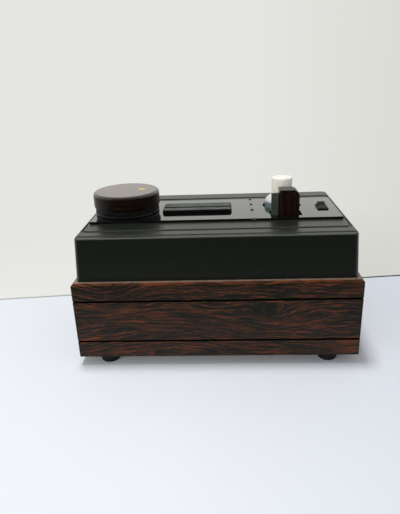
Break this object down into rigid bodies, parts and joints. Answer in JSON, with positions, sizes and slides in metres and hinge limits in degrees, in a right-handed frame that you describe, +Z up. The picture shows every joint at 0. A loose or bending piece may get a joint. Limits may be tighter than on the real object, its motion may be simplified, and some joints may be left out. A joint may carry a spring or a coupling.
{
  "type": "record cleaning machine",
  "caption": "Hand-turned vacuum record cleaner: veneered base, drafted black hood, small platter with wooden record clamp, velvet-lipped suction bar, fluid bottle, brush and rocker switch.",
  "frame": {"origin": "on the floor under the middle of the cabinet, at the feet's underside", "axes": "+X to the right along the long side, +Y to the back, +Z up"},
  "size_m": [0.375, 0.234, 0.2247],
  "materials": {
    "veneer": "satin dark rosewood-like veneer",
    "plywood": "raw board",
    "hood_plastic": "satin black, finely grained",
    "deck_plastic": "polished black",
    "strip_metal": "satin",
    "black_rubber": "matte",
    "knob_wood": "lacquered dark wood",
    "brass": "polished",
    "platter_metal": "satin black",
    "velvet": "short black pile",
    "black_plastic": "moulded",
    "hose_rubber": "ribbed",
    "tank_plastic": "natural polythene",
    "motor_metal": "grey enamel",
    "steel": "turned",
    "bottle_plastic": "milky, translucent",
    "fluid": "clear blue fluid",
    "cap_plastic": "ivory white",
    "handle_wood": "lacquered dark rosewood",
    "bristle_fibre": "dark nylon bristles"
  },
  "bodies": {
    "root": {"front_board": "veneer", "rear_board": "veneer", "left_board": "veneer", "right_board": "veneer", "hood_cleats": "plywood", "bottom_panel": "plywood", "foot_front_left": "black_rubber", "foot_front_right": "black_rubber", "foot_rear_left": "black_rubber", "foot_rear_right": "black_rubber", "foot_screws": "steel", "panel_screws": "steel", "hood": "hood_plastic", "deck_plate_left": "deck_plastic", "deck_plate_right": "deck_plastic", "joint_strip": "strip_metal", "bearing_housing": "steel", "pickup_bar": "black_plastic", "velvet_lip_front": "velvet", "velvet_lip_rear": "velvet", "pickup_duct": "black_plastic", "suction_hose": "hose_rubber", "waste_tank": "tank_plastic", "intake_sleeve": "hose_rubber", "fan_case": "motor_metal", "motor_case": "motor_metal", "motor_cradle": "motor_metal", "bottle_well": "black_plastic", "brush_well": "black_plastic", "switch_frame": "black_plastic", "cord_gland": "black_plastic"},
    "platter": {"platter": "platter_metal", "shaft_collar": "steel", "platter_mat": "black_rubber"},
    "clamp": {"clamp_knob": "knob_wood", "clamp_bush": "brass", "clamp_pad": "black_rubber", "index_dot": "brass"},
    "rotor": {"motor_rotor": "steel"},
    "bottle": {"fluid_bottle": "bottle_plastic", "cleaning_fluid": "fluid"},
    "bottle_cap": {"bottle_cap": "cap_plastic"},
    "brush": {"brush_handle": "handle_wood", "brush_bristles": "bristle_fibre"},
    "rocker": {"switch_rocker": "black_plastic"},
    "drain_plug": {"drain_plug": "black_rubber"}
  },
  "joints": [
    {"name": "platter_spin", "type": "hinge", "parent": "root", "child": "platter", "pos_m": [-0.1275, 0.0035, 0.185], "axis": [0, 0, 1], "continuous": true},
    {"name": "clamp_lift", "type": "slide", "parent": "platter", "child": "clamp", "axis": [0, 0, 1], "range_m": [0, 0.06]},
    {"name": "motor_spin", "type": "hinge", "parent": "root", "child": "rotor", "pos_m": [-0.12, 0, 0.072], "axis": [1, 0, 0], "continuous": true},
    {"name": "bottle_lift", "type": "slide", "parent": "root", "child": "bottle", "axis": [0, 0, 1], "range_m": [0, 0.12]},
    {"name": "bottle_cap_lift", "type": "slide", "parent": "bottle", "child": "bottle_cap", "axis": [0, 0, 1], "range_m": [0, 0.04]},
    {"name": "brush_lift", "type": "slide", "parent": "root", "child": "brush", "axis": [0, 0, 1], "range_m": [0, 0.11]},
    {"name": "rocker_tip", "type": "hinge", "parent": "root", "child": "rocker", "pos_m": [0.1515, 0.0005, 0.1824], "axis": [1, 0, 0], "range_deg": [-24, 0]},
    {"name": "drain_plug_pull", "type": "slide", "parent": "root", "child": "drain_plug", "axis": [0, 1, 0], "range_m": [0, 0.03]}
  ]
}
